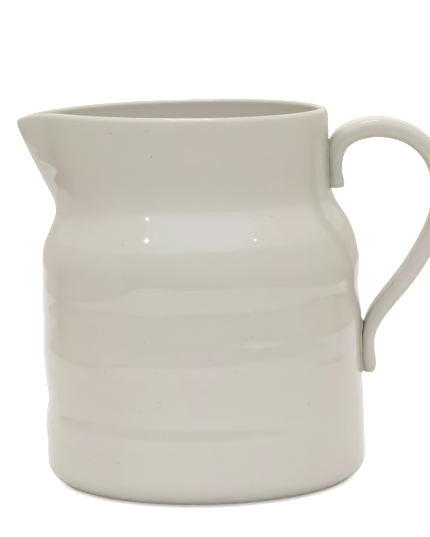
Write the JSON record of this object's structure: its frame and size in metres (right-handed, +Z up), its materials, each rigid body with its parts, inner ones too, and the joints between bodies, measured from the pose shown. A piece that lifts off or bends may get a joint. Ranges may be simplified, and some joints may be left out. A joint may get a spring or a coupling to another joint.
{
  "type": "pitcher",
  "caption": "Glazed stoneware pitcher with a straight barrel, rounded shoulder, wide neck with a pulled pouring lip, and a strap handle.",
  "frame": {"origin": "centre of the foot ring's standing face, on the axis of the barrel", "axes": "+Z up along the axis of the barrel, +X towards the handle, -X towards the pouring lip, +Y across"},
  "size_m": [0.2082, 0.154, 0.179],
  "materials": {
    "fired_clay": "light buff stoneware body under the glaze",
    "bare_clay": "unglazed stoneware, fine sandy surface, wiped clean",
    "slip": "fine clay slip pressed out round the handle's tails",
    "outer_glaze": "glossy warm grey-cream glaze, faint pink and green-grey clouding",
    "liner_glaze": "glossy warm grey-cream liner glaze"
  },
  "bodies": {
    "root": {"body": "fired_clay", "foot_ring": "bare_clay", "handle": "fired_clay", "upper_handle_joint": "slip", "lower_handle_joint": "slip", "outer_glaze": "outer_glaze", "inner_glaze": "liner_glaze", "handle_glaze": "outer_glaze"}
  },
  "joints": []
}
